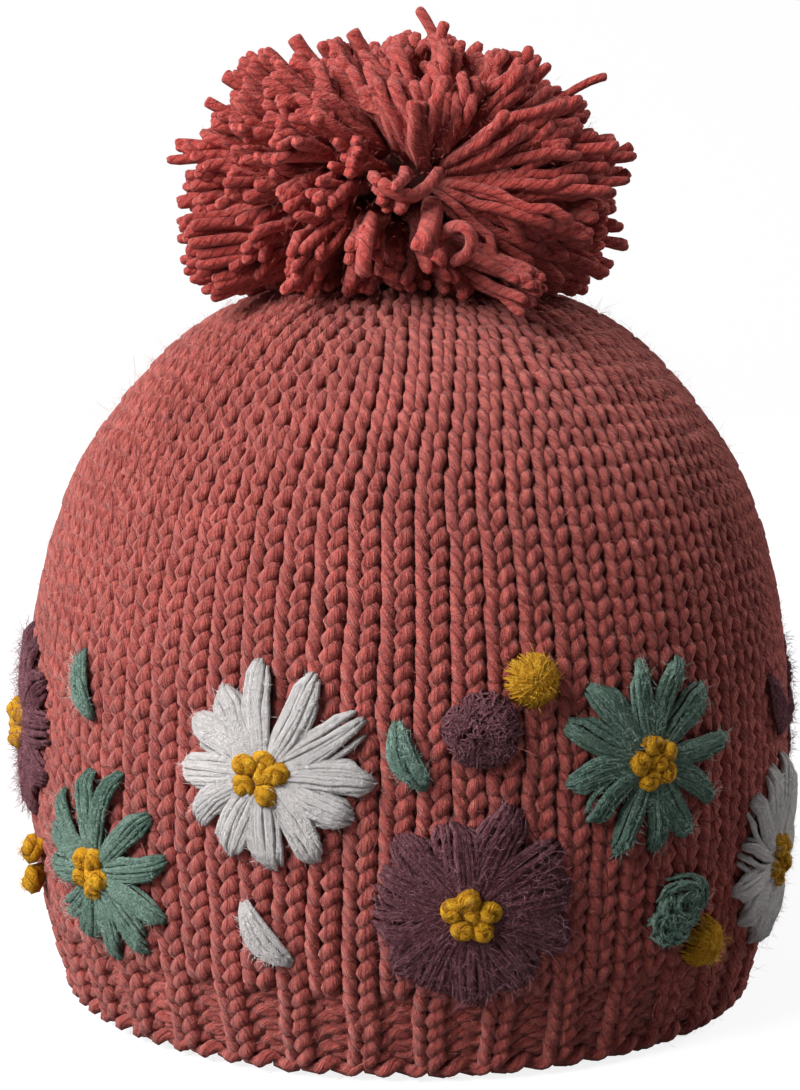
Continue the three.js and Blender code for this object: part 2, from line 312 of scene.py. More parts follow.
def principled(name, settings):
    # A material, and its shader with these values on its sockets
    material = bpy.data.materials.new(name)
    material.use_nodes = True
    shader = material.node_tree.nodes["Principled BSDF"]
    for socket, value in settings.items():
        shader.inputs[socket].default_value = value
    return material, shader


def woolMaterial(name, look):
    # Wool: its own colour, with painted shade between the plies and painted highlight on them, and slow
    # patches where the dye took less
    dark, main, light, haze = [fromScreen(*look[tone]) for tone in ("dark", "main", "light", "haze")]
    material, shader = principled(name, {
        "Roughness": look["roughness"], "Specular IOR Level": 0.2,
        "Sheen Weight": look["sheen"], "Sheen Roughness": 0.4, "Sheen Tint": (*haze, 1)})
    nodes, links = material.node_tree.nodes, material.node_tree.links
    uv = nodes.new("ShaderNodeUVMap")
    uv.uv_map = "yarn"
    place = nodes.new("ShaderNodeTexCoord")
    spun = nodes.new("ShaderNodeGroup")
    spun.node_tree = spunYarn
    for socket in yarnInputs:
        spun.inputs[socket].default_value = look[socket.lower()]
    links.new(uv.outputs[0], spun.inputs["Yarn"])
    links.new(place.outputs["Object"], spun.inputs["Place"])
    # Painted shade between the plies, the wool's own colour, and painted highlight on the plies and fibre
    # streaks
    dyeShadeAndHighlight = colourRamp(nodes, links, spun.outputs["Mask"], [(0.0, dark), (0.5, main), (1.0, light)])
    patches = noiseTexture(nodes, links, place.outputs["Object"], {"Scale": look["patch"], "Detail": 2.0})
    spread = colourRamp(nodes, links, patches, [(0.3, [0.6] * 3), (0.7, [1.3] * 3)])
    tone = nodes.new("ShaderNodeMix")
    tone.data_type = "RGBA"
    tone.blend_type = "MULTIPLY"
    tone.inputs["Factor"].default_value = look["patchiness"]
    links.new(dyeShadeAndHighlight, tone.inputs["A"])
    links.new(spread, tone.inputs["B"])
    links.new(tone.outputs["Result"], shader.inputs["Base Color"])
    bump = nodes.new("ShaderNodeBump")
    bump.inputs["Strength"].default_value = look["bump"]
    bump.inputs["Distance"].default_value = 0.6 * mm
    links.new(spun.outputs["Height"], bump.inputs["Height"])
    links.new(bump.outputs["Normal"], shader.inputs["Normal"])
    return material


# Colours are as a screen shows them. Wool is spun of plies; a roving is one loose strand of fibres.
wool = {"roughness": 0.92, "sheen": 0.35, "haze": (240, 200, 194), "plies": 3, "twist": 11.0, "fibres": 1.6,
        "girth": 1.8, "felt": 0.5, "patch": 60.0, "patchiness": 0.35, "bump": 1.0}
roving = {**wool, "plies": 1, "twist": 60.0, "fibres": 1.8, "girth": 2.6, "felt": 1.3, "patchiness": 0.2}
# Of each yarn's tones, dark is painted shade between its plies, main its own colour, and light painted
# highlight on the plies
roseYarn = woolMaterial("roseYarn", {
    **wool, "dark": (96, 36, 35), "main": (164, 74, 68), "light": (208, 116, 105)})
pompomYarn = woolMaterial("pompomYarn", {
    **wool, "twist": 9.0, "felt": 0.8,
    "dark": (136, 38, 36), "main": (194, 72, 66), "light": (224, 112, 102)})
# Painted shade: a darker copy of the rose wool for what lies in shadow behind the stitches and inside the
# pompom
shadeYarn = woolMaterial("shadeYarn", {
    **wool, "dark": (104, 42, 40), "main": (144, 63, 58), "light": (170, 84, 77)})
whiteYarn = woolMaterial("whiteYarn", {
    **roving, "dark": (224, 219, 217), "main": (246, 244, 243), "light": (254, 254, 253)})
plumYarn = woolMaterial("plumYarn", {
    **roving, "haze": (198, 154, 162), "dark": (72, 34, 42), "main": (106, 53, 63), "light": (164, 108, 119)})
greenYarn = woolMaterial("greenYarn", {
    **roving, "haze": (190, 215, 205),
    "dark": (52, 82, 72), "main": (96, 130, 113), "light": (160, 186, 169)})
mustardYarn = woolMaterial("mustardYarn", {
    **roving, "haze": (250, 200, 90), "dark": (146, 88, 3), "main": (212, 144, 7), "light": (238, 180, 36)})
knotYarn = woolMaterial("knotYarn", {
    **wool, "haze": (250, 200, 90), "plies": 2, "twist": 7.0, "felt": 0.8,
    "dark": (124, 70, 2), "main": (204, 140, 10), "light": (240, 188, 54)})


def fuzzMaterial(name, pale, deep):
    # Single fibres: one colour that drifts at random between two, for the most part lighter than their yarn
    # as painted sheen
    material, shader = principled(name, {"Roughness": 0.7, "Specular IOR Level": 0.3})
    nodes, links = material.node_tree.nodes, material.node_tree.links
    place = nodes.new("ShaderNodeTexCoord")
    drift = noiseTexture(nodes, links, place.outputs["Object"], {"Scale": 220})
    colour = colourRamp(nodes, links, drift, [(0.35, fromScreen(*deep)), (0.65, fromScreen(*pale))])
    links.new(colour, shader.inputs["Base Color"])
    return material


roseFuzz = fuzzMaterial("roseFuzz", (224, 150, 140), (186, 96, 90))
pompomFuzz = fuzzMaterial("pompomFuzz", (214, 124, 116), (176, 76, 72))
whiteFuzz = fuzzMaterial("whiteFuzz", (250, 248, 246), (236, 232, 230))
plumFuzz = fuzzMaterial("plumFuzz", (168, 118, 129), (118, 68, 79))
mustardFuzz = fuzzMaterial("mustardFuzz", (248, 198, 72), (212, 146, 16))
greenFuzz = fuzzMaterial("greenFuzz", (180, 206, 194), (120, 158, 146))

# Knit: stitches round the body, decrease panels and the size of a stitch and of its yarn, in mm
knit = {
    "stitches": 72,
    "panels": 8,
    "firstLine": math.radians(-29.5),
    "lineFrom": 128,
    "lineAside": 20.5,
    "lineOwn": np.radians([8, 0, 4, 1, 5, 2, 4, 3]),
    "lineOwnOver": 30,
    "narrowest": 6.5,
    "ribRows": 5,
    "ribStart": 4.6,
    "ribPitch": 3.75,
    "rowPitch": 4.05,
    "topPitch": 5.3,
    "growsFrom": 110,
    "growsOver": 40,
    "yarn": 1.8,
    "loopHeight": 3.5,
    "loopDepth": 1.05,
    "swing": 0.2,
    "slant": 0.5,
    "closing": 0.03,
    "wander": 0.07,
    "uprightFrom": 118,
    "uprightOver": 40,
    "fullWidth": 7.8,
    "ribShorter": 0.92,
    "ribDeeper": 0.75,
    "uneven": {"aside": 0.03, "high": 0.15, "rise": 0.22, "deep": 0.16, "thick": 0.07},
    "samples": 10,
    "sides": 6,
    "rowsPerPiece": 16,
    "smallestRing": 6,
}


def betweenStitches(values, at):
    # Values given per stitch, eased from one stitch to the next and closed round the ring
    low = np.floor(at).astype(int)
    share = eased(at - low)
    count = len(values)
    return values[low % count] * (1 - share) + values[(low + 1) % count] * share


def panelColumns(arc):
    # Stitches that fit one panel at that height: its width over the narrowest stitch, and never more than the
    # body's share
    fitting = fullTurn * radiusAt(arc) / (knit["panels"] * knit["narrowest"])
    return min(knit["stitches"] / knit["panels"], fitting)


def lineAt(line, arc):
    # Azimuth of a decrease line. From where it starts it climbs straight up at a fixed distance aside of the
    # middle, so that its angle grows with the arcsine of that distance over the radius, and leans by its own.
    line = line.astype(int)
    height = heightAt(arc)
    aside = np.arcsin(knit["lineAside"] / np.maximum(radiusAt(arc), 1.25 * knit["lineAside"]))
    lowAside = math.asin(knit["lineAside"] / radiusAt(arcOf(knit["lineFrom"])))
    own = knit["lineOwn"][line % knit["panels"]] * eased((height - knit["lineFrom"]) / knit["lineOwnOver"])
    return knit["firstLine"] + line * fullTurn / knit["panels"] + np.maximum(aside - lowAside, 0) + own


def azimuthOf(place, count, arc):
    # Place counts stitches to the right from the first decrease line. Inside a panel columns keep their
    # distance from its right edge, and the leftmost stitch takes what is left.
    room = panelColumns(arc)
    panel = np.floor(place / count)
    fromRight = count - (place - panel * count)
    whole = np.minimum(fromRight, count - 1) / room
    rest = np.maximum(fromRight - (count - 1), 0) * (1 - (count - 1) / room)
    left, right = lineAt(panel, arc), lineAt(panel + 1, arc)
    return right - (whole + rest) * (right - left)


def pitchAt(arc):
    # From row to row, along the knit: taller stitches up on the crown
    grown = eased((heightAt(arc) - knit["growsFrom"]) / knit["growsOver"])
    return knit["rowPitch"] + (knit["topPitch"] - knit["rowPitch"]) * grown


def wandering(share, arc):
    # How far the columns stray sideways, -1 to 1: sines of the way round and of the height, out of step
    turn = fullTurn * share
    slow = np.sin(5 * turn + arc / 11 + 1.3)
    return (slow + np.sin(9 * turn - arc / 7 + 0.4) + np.sin(14 * turn + arc / 5)) / 3


def course(arc, ribbed, seed):
    # One round of stitches as a closed wave. Along a stitch the phase runs a full turn: the yarn goes down
    # and up by its cosine, leans in and out sideways by the sine of twice the phase, and comes forward on the
    # legs by the cosine of twice the phase. The right leg leans more than the left.
    random = np.random.default_rng(seed)
    perPanel = max(1, int(round(panelColumns(arc))))
    count = perPanel * knit["panels"]
    place = np.arange(count * knit["samples"]) / knit["samples"]
    phase = fullTurn * (place % 1)

    def wobble(which):
        return betweenStitches(random.normal(0, knit["uneven"][which], count), place)

    # Knit stitches face out, 1; along the rib they turn about with the purl stitches, -1
    face = 1 + 0 * place
    if ribbed:
        wave = np.sin(math.pi * place)
        face = np.sign(wave) * np.abs(wave) ** 0.5
    # Up on the crown the legs stand more upright and closer together
    upright = float(eased((heightAt(arc) - knit["uprightFrom"]) / knit["uprightOver"]))
    slant = knit["slant"] * (1 - 0.5 * upright)
    swing = knit["swing"] * (1 - 0.25 * upright)
    sideways = swing * np.sin(2 * phase) * (1 - slant * np.sin(phase)) + wobble("aside")
    sideways += (knit["closing"] + 0.02 * upright) * np.sin(phase)
    sideways += knit["wander"] * (1 - upright) * wandering(place / count, arc)
    room = min(1, fullTurn * radiusAt(arc) / count / knit["fullWidth"])
    taller = knit["ribShorter"] if ribbed else pitchAt(arc) / knit["rowPitch"]
    high = knit["loopHeight"] * taller + wobble("high")
    rise = arc - high * np.cos(phase) + wobble("rise")
    deep = -knit["yarn"] - knit["loopDepth"] * (1 + face * np.cos(2 * phase)) + wobble("deep")
    if ribbed:
        deep += knit["ribDeeper"] * (face - 1)
    azimuth = azimuthOf(place + sideways, perPanel, arc)
    rise = np.minimum(rise, fullArc - 0.5)
    thick = knit["yarn"] * room**0.95 * (1 - 0.05 * np.cos(2 * phase)) + wobble("thick")
    return sweep(onKnit(azimuth, rise, deep)[None], outwardAt(azimuth, rise)[None], thick[None],
                 knit["sides"], closed=True)


castOn = {"above": 2.7, "rise": 0.9, "inside": 1.2, "swing": 1.1, "thinner": 0.9}


def castOnEdge():
    # The cast-on row: yarn wound round the hem once a stitch
    place = np.arange(knit["stitches"] * knit["samples"]) / knit["samples"]
    phase = fullTurn * place
    azimuth = knit["firstLine"] + place * fullTurn / knit["stitches"]
    arc = castOn["above"] - castOn["rise"] * np.cos(phase)
    lift = -knit["yarn"] - castOn["inside"] + castOn["swing"] * np.sin(phase)
    thick = np.full((1, len(place)), knit["yarn"] * castOn["thinner"])
    return sweep(onKnit(azimuth, arc, lift)[None], outwardAt(azimuth, arc)[None], thick, knit["sides"],
                 closed=True)


ribArcs = knit["ribStart"] + knit["ribPitch"] * np.arange(knit["ribRows"])
# Rows lie where the sum of 1 / pitch, from the rib up, comes to a whole number
upwards = np.linspace(ribArcs[-1], fullArc, 2000)
rowsBelow = np.cumsum(np.gradient(upwards) / pitchAt(upwards))
bodyArcs = np.interp(np.arange(1, int(rowsBelow[-1]) + 1), rowsBelow, upwards)
bodyArcs = bodyArcs[radiusAt(bodyArcs) > knit["smallestRing"]]

print("knitting", len(ribArcs), "rib rows and", len(bodyArcs), "plain rows")
makePiece("rib_rows", [castOnEdge()] + [course(arc, True, row) for row, arc in enumerate(ribArcs)],
          roseYarn, ["rib_band"])
for band, first in enumerate(range(0, len(bodyArcs), knit["rowsPerPiece"])):
    rows = bodyArcs[first:first + knit["rowsPerPiece"]]
    courses = [course(arc, False, seeds["rows"] + first + row) for row, arc in enumerate(rows)]
    makePiece(f"crown_rows_{band + 1}", courses, roseYarn, ["crown"])

# The back of the fabric, behind the stitches, in the darker shade wool: painted shade in the gaps between
# stitches
backing = {"outer": -3.0, "inner": -4.6, "margin": 3.0, "rows": 26, "columns": 72}
up = np.linspace(backing["margin"], fullArc - backing["margin"], backing["rows"])
lining = np.concatenate([np.stack([up, 0 * up + backing["outer"]], -1),
                         np.stack([up[::-1], 0 * up + backing["inner"]], -1)])
roundAbout = fullTurn * np.arange(backing["columns"]) / backing["columns"]
shell = onKnit(*np.broadcast_arrays(roundAbout, lining[:, :1], lining[:, 1:]))
makePiece("knit_backing", [skin(shell, closed=True)], shadeYarn, ["crown", "rib_band"])


# Pompom: cut strands tied in the middle. Seen from the front they open out round a hollow a little to the
# right of the middle, where their lengths show, and elsewhere their tips face out.
pompom = {
    "centre": np.array([-1.5, 0, 193.5]),
    "reach": np.array([50, 49, 32]),
    "lowerReach": 41,
    "strands": 1850,
    "locks": 180,
    "gather": 0.58,
    "yarn": 1.45,
    "crimp": 0.45,
    "sides": 5,
    "hollowAzimuth": math.radians(11),
    "opening": math.radians(34),
    "openingLeft": math.radians(5),
    "widest": math.radians(100),
    "steepest": -0.9,
    "rootAt": 0.42,
    "bendAt": 0.72,
    "bendNoise": 2.8,
    "tipNoise": 1.6,
    "core": 0.4,
    "coreRows": 14,
    "seed": 11,
}


def sphere(count):
    # Evenly spread directions: equal steps in height, each turned on by the golden angle
    step = np.arange(count) + 0.5
    rise = 1 - 2 * step / count
    turn = step * math.pi * (3 - math.sqrt(5))
    flat = np.sqrt(1 - rise**2)
    return facing(turn, flat, rise)


def bent(start, control, end, share):
    # A curve that leaves the start towards the control and comes to the end from it
    share = share[:, None]
    return ((1 - share)**2 * start[:, None] + 2 * share * (1 - share) * control[:, None]
            + share**2 * end[:, None])


def keptAbove(points):
    # Points that would be inside the crown are lifted to lie on it
    away = np.hypot(points[..., 0], points[..., 1])
    ground = np.interp(away, curve[::-1, 0], curve[::-1, 1]) + pompom["yarn"] + 0.4
    lifted = points.copy()
    lifted[..., 2] = np.maximum(points[..., 2], ground)
    return lifted


def sideGuide(paths):
    # A guide for the section that no strand runs along
    run = np.abs(unit(paths[:, -1] - paths[:, 0]))
    pick = np.where(run[:, 2:] > 0.75, [[1.0, 0, 0]], [[0, 0, 1.0]])
    return np.broadcast_to(pick[:, None], paths.shape)


def cutYarn(paths, thick, shape):
    # Strands of the pompom's yarn, each of its own thickness, times the shape along it
    girth = pompom["yarn"] * thick * np.array(shape)
    return sweep(paths, sideGuide(paths), girth, pompom["sides"])


def pompomStrands():
    random = np.random.default_rng(pompom["seed"])
    centre = pompom["centre"]
    tips = unit(sphere(pompom["strands"]) + random.normal(0, 0.03, (pompom["strands"], 3)))
    locks = unit(sphere(pompom["locks"]) + random.normal(0, 0.05, (pompom["locks"], 3)))
    lock = np.argmax(tips @ locks.T, axis=1)
    lockReach = random.uniform(0.9, 1.04, pompom["locks"])[lock]
    tips = unit(tips + pompom["gather"] * (locks[lock] - tips))
    # The hollow: tips near it are pushed outwards round it, more to its upper right than to its lower left,
    # and their strands start inside it
    turn = pompom["hollowAzimuth"]
    hollow = facing(turn, 1, 0)
    toRight = np.array([math.cos(turn), math.sin(turn), 0])
    down = np.array([0, 0, -1])
    off = np.arccos(np.clip(tips @ hollow, -1, 1))
    clock = np.arctan2(tips @ down, tips @ toRight)
    rightward = eased(0.75 + 0.75 * np.cos(clock + 0.6))
    opening = pompom["openingLeft"] + (pompom["opening"] - pompom["openingLeft"]) * rightward
    inside = off < pompom["widest"]
    pushed = np.where(inside, opening + off * (1 - opening / pompom["widest"]), off)
    side = np.cos(clock)[:, None] * toRight + np.sin(clock)[:, None] * down

    def aimed(angle):
        return np.cos(angle)[:, None] * hollow + np.sin(angle)[:, None] * side

    tips = aimed(pushed)
    near = np.where(inside, 1 - eased(off / pompom["widest"]), 0) * rightward
    long = lockReach * random.uniform(0.93, 1.06, len(tips))

    def reaching(direction):
        # Below its middle the pompom hangs lower than it stands above it
        sized = direction * pompom["reach"]
        sized[:, 2] = np.where(direction[:, 2] < 0, direction[:, 2] * pompom["lowerReach"], sized[:, 2])
        return sized

    end = centre + reaching(tips) * long[:, None]
    start = centre + reaching(aimed(pushed * (1 - 0.85 * near))) * (pompom["rootAt"] + 0.16 * near)[:, None]
    control = centre + reaching(aimed(pushed * (1 - 0.45 * near))) * (pompom["bendAt"] + 0.18 * near)[:, None]
    control += random.normal(0, pompom["bendNoise"], control.shape)
    # Long strands sag a little
    sag = np.array([0, 0, 1.5]) * eased((long - 0.9) * 5)[:, None]
    end += random.normal(0, pompom["tipNoise"], end.shape) - sag
    keep = tips[:, 2] > pompom["steepest"]
    share = np.array([0, 0.24, 0.44, 0.62, 0.78, 0.93, 0.98, 1])
    paths = bent(start[keep], control[keep], end[keep], share)
    paths += random.normal(0, pompom["crimp"], paths.shape) * np.array([0, 1, 1, 1, 1, 0.3, 0, 0])[:, None]
    thick = random.uniform(0.88, 1.1, (len(paths), 1))
    return cutYarn(keptAbove(paths), thick, [0.9, 1, 1, 1, 1.03, 1.05, 0.86, 0.5])


def placedAt(across, down, depth):
    # Where a point of the photograph, in its pixels, is at that distance in front of the middle
    pitch = math.radians(view["pitch"])
    ahead = np.array([0, math.cos(pitch), -math.sin(pitch)])
    upward = np.array([0, math.sin(pitch), math.cos(pitch)])
    right = np.array([1, 0, 0])
    aside, below = (np.array([across, down]) - view["middle"]) / view["focal"]
    ray = ahead + aside * right - below * upward
    eye = np.array([view["side"], -view["distance"], view["height"]])
    return eye + ray * (view["distance"] - depth) / ray[1]


# Strands that stand out of the pompom: three points each, in the photograph's pixels with the depth in front
# of the middle in mm, and how thick they are
strays = [
    ([(452, 96, 12), (440, 48, 10), (418, 8, 8)], 0.9),
    ([(436, 92, 16), (438, 52, 14), (446, 22, 14)], 1.0),
    ([(500, 110, 6), (468, 62, 6), (446, 36, 8)], 0.7),
    ([(470, 100, 10), (492, 66, 10), (521, 58, 12)], 1.25),
    ([(545, 110, 8), (580, 86, 8), (607, 76, 8)], 0.75),
    ([(585, 165, 10), (612, 156, 10), (632, 145, 10)], 0.95),
    ([(580, 190, 12), (612, 180, 12), (629, 171, 12)], 0.95),
    ([(240, 175, 10), (205, 160, 10), (184, 144, 10)], 1.0),
    ([(262, 128, 8), (228, 112, 8), (206, 100, 8)], 1.0),
    ([(280, 112, 6), (248, 90, 6), (224, 74, 6)], 1.25),
    ([(330, 80, 6), (308, 56, 6), (294, 36, 6)], 1.35),
    ([(372, 76, 6), (362, 50, 6), (352, 30, 6)], 1.3),
    ([(440, 172, 38), (412, 196, 48), (380, 180, 50)], 1.15),
    ([(432, 205, 38), (428, 232, 49), (420, 254, 52)], 1.9),
    ([(372, 218, 40), (366, 244, 49), (364, 276, 49)], 1.35),
]
loopStrand = [(452, 262, 46), (468, 256, 49), (474, 240, 51), (466, 226, 51), (452, 226, 48), (440, 236, 42)]


# Tufts whose strands lie side by side: root and tip, half the tuft's width in mm, and how many strands
tufts = [
    ((345, 236, 12), (178, 254, 24), 7.6, 34),
    ((345, 250, 14), (196, 282, 26), 4.5, 12),
    ((425, 240, 20), (540, 298, 46), 5.0, 20),
    ((350, 150, 0), (240, 56, 8), 6.0, 18),
    ((490, 205, 8), (608, 232, 28), 5.5, 18),
]


def tuftStrands():
    # The strands of a tuft start in a disc round its root and end in a wider one round its tip, a little
    # shorter towards the rim
    random = np.random.default_rng(seeds["tufts"])
    share = np.array([0, 0.25, 0.5, 0.72, 0.92, 0.98, 1])
    parts = []
    for root, tip, wide, count in tufts:
        root, tip = placedAt(*root), placedAt(*tip)
        run = unit(tip - root)
        first = unit(np.cross(run, [0.1, 0.2, 1.0]))
        second = np.cross(run, first)
        turn = random.uniform(0, fullTurn, (count, 1))
        off = wide * np.sqrt(random.uniform(0, 1, (count, 1)))
        disc = off * (np.cos(turn) * first + np.sin(turn) * second)
        start = root + 0.5 * disc
        end = tip + 1.05 * disc - run * (2.0 * (off / wide)**2 + random.uniform(0, 3.0, (count, 1)))
        middle = 0.5 * (start + end) + random.normal(0, 1.3, (count, 3))
        paths = bent(start, middle, end, share)
        paths += random.normal(0, pompom["crimp"], paths.shape) * np.sin(math.pi * share)[:, None]
        thick = random.uniform(0.88, 1.08, (count, 1))
        parts.append(cutYarn(keptAbove(paths), thick, [0.9, 1, 1, 1.03, 1.05, 0.86, 0.5]))
    return parts


def strayStrands():
    share = np.array([0, 0.22, 0.44, 0.66, 0.84, 0.94, 0.98, 1])
    corners = np.array([[placedAt(*corner) for corner in points] for points, _ in strays])
    control = 2 * corners[:, 1] - 0.5 * (corners[:, 0] + corners[:, 2])
    paths = bent(corners[:, 0], control, corners[:, 2], share)
    sizes = np.array([thick for _, thick in strays])[:, None]
    single = cutYarn(paths, sizes, [1, 1, 1, 1, 1.03, 1.02, 0.84, 0.45])
    # The loop's points are rounded by cutting its corners twice
    loop = np.array([placedAt(*corner) for corner in loopStrand])[None]
    for _ in range(2):
        middles = 0.5 * (loop[:, 1:] + loop[:, :-1])
        blended = np.empty((1, 2 * loop.shape[1] - 1, 3))
        blended[:, ::2], blended[:, 1::2] = loop, middles
        blended[:, 2:-2:2] = 0.5 * loop[:, 1:-1] + 0.25 * (middles[:, 1:] + middles[:, :-1])
        loop = blended
    thick = np.full(loop.shape[:2], pompom["yarn"] * 1.05)
    thick[:, [0, -1]] *= 0.5
    return [single, sweep(loop, np.broadcast_to([[[0, -1.0, 0]]], loop.shape), thick, pompom["sides"])]


print("pompom:", pompom["strands"], "strands in", pompom["locks"], "locks")
makePiece("pompom_strands", [pompomStrands()] + tuftStrands() + strayStrands(), pompomYarn,
          ["pompom"])
# Painted shade in the middle behind the strands: a ball of the darker shade wool from just above its lower
# end to just below its upper end
slope = np.linspace(-math.pi / 2 + 0.02, math.pi / 2 - 0.02, pompom["coreRows"])[:, None]
ball = facing(roundAbout[::3], np.cos(slope), np.sin(slope))
core = pompom["centre"] + pompom["core"] * pompom["reach"] * ball
makePiece("pompom_middle", [skin(core)], shadeYarn, ["pompom"])

# Embroidery. Daisies: yarn, azimuth in degrees, height of the middle in mm, and turn in degrees
daisies = {
    "white_front": ("white", -19.5, 69.5, 2),
    "plum_front": ("plum", 8, 40, 8),
    "green_right": ("green", 34.5, 69.5, 4),
    "white_right": ("white", 67.5, 38, 12),
    "plum_right": ("plum", 101, 66, 5),
    "green_back": ("green", 132, 40, 10),
    "white_back": ("white", 163, 68, 0),
    "plum_back": ("plum", 194, 39, 9),
    "green_back_left": ("green", 223, 68, 3),
    "white_left": ("white", 251, 39, 14),
    "plum_left": ("plum", 280.5, 66, 6),
    "green_left": ("green", 310.5, 41.5, 11),
}
# The material of a yarn and of its fibres, its slot, and how many sides a strand has
yarnOf = {
    "white": (whiteYarn, whiteFuzz, "white_yarn", 4),
    "plum": (plumYarn, plumFuzz, "plum_yarn", 4),
    "green": (greenYarn, greenFuzz, "green_yarn", 4),
    "mustard": (mustardYarn, mustardFuzz, "mustard_yarn", 4),
    "knot": (knotYarn, mustardFuzz, "mustard_yarn", 6),
}
# Petals, in mm: how far they reach, how much further the longest do, where strands leave the middle and how
# deep they dive at the tip. Each yarn has its own half width, strands, puff, share of petals with a slit, and
# how far the tips close.
petal = {
    "count": 12,
    "reach": 22.0,
    "longer": 2.3,
    "from": 1.6,
    "dive": 1.6,
    "white": {"half": 3.15, "strands": 11, "yarn": 0.68, "puff": 2.0, "slits": 0.3, "closed": (0.1, 0.6)},
    "green": {"half": 2.65, "strands": 10, "yarn": 0.62, "puff": 1.8, "slits": 0.3, "closed": (0.15, 0.6)},
    "plum": {"half": 4.7, "strands": 15, "yarn": 0.66, "puff": 1.1, "slits": 0, "closed": (0.1, 0.45)},
}


def laidOnKnit(across, rise, lift, azimuth, height):
    # A flat drawing laid on the knit: millimetres to the right of and up from a spot, and off the knit
    middle = arcOf(height)
    turn = math.radians(azimuth) + across / radiusAt(middle)
    arc = np.clip(middle + rise, 0.5, fullArc)
    return onKnit(turn, arc, lift), outwardAt(turn, arc)


def turned(along, side, angle):
    # A length along a direction and one to its left, as lengths to the right and up
    return along * np.cos(angle) - side * np.sin(angle), along * np.sin(angle) + side * np.cos(angle)


def petalStrands(yarn, azimuth, height, turn, seed):
    # Each petal is a bundle of strands that leaves the middle close together, spreads, and closes again by a
    # petal's own share towards a point of its tip, where it dives into the knit. Strands drift across each
    # other, and some petals are open by a slit near the tip.
    random = np.random.default_rng(seed)
    look = petal[yarn]
    count, strands = petal["count"], look["strands"]
    each = (count, 1, 1)
    strand = (count, strands, 1)
    share = np.array([0, 0.18, 0.38, 0.58, 0.76, 0.88, 0.96, 1])
    angle = np.radians(turn + 90 - 360 / count * np.arange(count) + random.uniform(-4, 4, count))
    angle = angle[:, None, None]
    long = petal["reach"] + petal["longer"] * np.cos(angle - math.pi / 4) + random.normal(0, 0.9, each)
    half = look["half"] * random.uniform(0.86, 1.12, each)
    place = np.linspace(-1, 1, strands)[None, :, None] + random.normal(0, 0.08, strand)
    crossed = np.clip(place + random.normal(0, 0.28, strand) * (share - 0.4), -1.08, 1.08)
    tip = random.uniform(-0.7, 0.7, each)
    closed = random.uniform(*look["closed"], each) * eased((share - 0.86) / 0.14)
    crossed = crossed + (tip - crossed) * closed
    reach = long * (1 - 0.09 * np.abs(place - 0.5 * tip)**3) + random.normal(0, 0.16, strand)
    along = petal["from"] + (reach - petal["from"]) * share
    spread = 0.5 + 0.5 * eased(share / 0.5)
    slit = np.where(random.uniform(0, 1, each) < look["slits"], random.uniform(0.4, 0.8, each), 0)
    apart = np.clip(3 * (place - random.uniform(-0.3, 0.3, each)), -1, 1)
    opened = slit * apart * np.exp(-((share - 0.78) / 0.12)**2)
    bow = random.normal(0, 0.9, each) * np.sin(math.pi * share)
    side = crossed * half * spread + opened + bow + random.normal(0, 0.1, (count, strands, len(share)))
    dome = np.sqrt(np.clip(1 - 0.8 * crossed**2, 0.05, 1))
    lift = 0.3 + look["puff"] * dome * np.sin(math.pi * (0.12 + 0.78 * share)) ** 0.5
    lift = lift + random.normal(0, 0.11, strand) - petal["dive"] * eased((share - 0.9) / 0.1)
    flat = [line.reshape(count * strands, len(share)) for line in (*turned(along, side, angle), lift)]
    points, out = laidOnKnit(*flat, azimuth, height)
    thick = look["yarn"] * random.uniform(0.85, 1.15, (count * strands, 1))
    shape = np.array([0.8, 1, 1.05, 1.1, 1.1, 1.05, 0.9, 0.6]) + random.normal(0, 0.07, points.shape[:2])
    return points, out, thick * shape


# Knots, in mm: the ring that they stand in round the middle one, a coil's radius, its yarn and how high it
# rises. A coil begins at any angle up to the last value, in radians.
knot = {"ring": 3.6, "count": 5, "coil": 1.5, "yarn": 1.45, "rise": 2.6, "points": 22, "begins": 6.28}


def knots(places, azimuth, height, seed, size=1.0, lift=1.0):
    # Each knot is a coil: the turn grows evenly, the ring closes towards the top by a power of the way along,
    # and the end goes down through its middle
    random = np.random.default_rng(seed)
    count = len(places)
    share = np.linspace(0, 1, knot["points"])[None, :]
    hand = random.choice([-1, 1], (count, 1))
    turn = random.uniform(0, knot["begins"], (count, 1))
    turn = turn + hand * fullTurn * random.uniform(1.5, 2.2, (count, 1)) * share
    ring = size * knot["coil"] * (1 - 0.5 * share**1.8) * (1 - eased((share - 0.86) / 0.14))
    high = lift + size * knot["rise"] * (share**0.75 - 0.35 * eased((share - 0.88) / 0.12))
    ring = ring * (1 + 0.18 * np.sin(2 * turn + random.uniform(0, knot["begins"], (count, 1))))
    # Each knot tilts its own way, and outwards from the middle of the cluster
    tilt = np.clip(random.normal(0, 0.3, (2, count, 1)) + 0.06 * places.T[:, :, None], -0.5, 0.5)
    across = ring * np.cos(turn) + tilt[0] * (high - lift)
    rise = ring * np.sin(turn) + tilt[1] * (high - lift)
    high = high - tilt[0] * across - tilt[1] * rise + random.normal(0, 0.2, (count, 1))
    points, out = laidOnKnit(places[:, :1] + across, places[:, 1:] + rise, high, azimuth, height)
    thick = size * knot["yarn"] * random.uniform(0.94, 1.08, (count, 1))
    return points, out, thick * (1 - 0.35 * eased((share - 0.9) / 0.1))


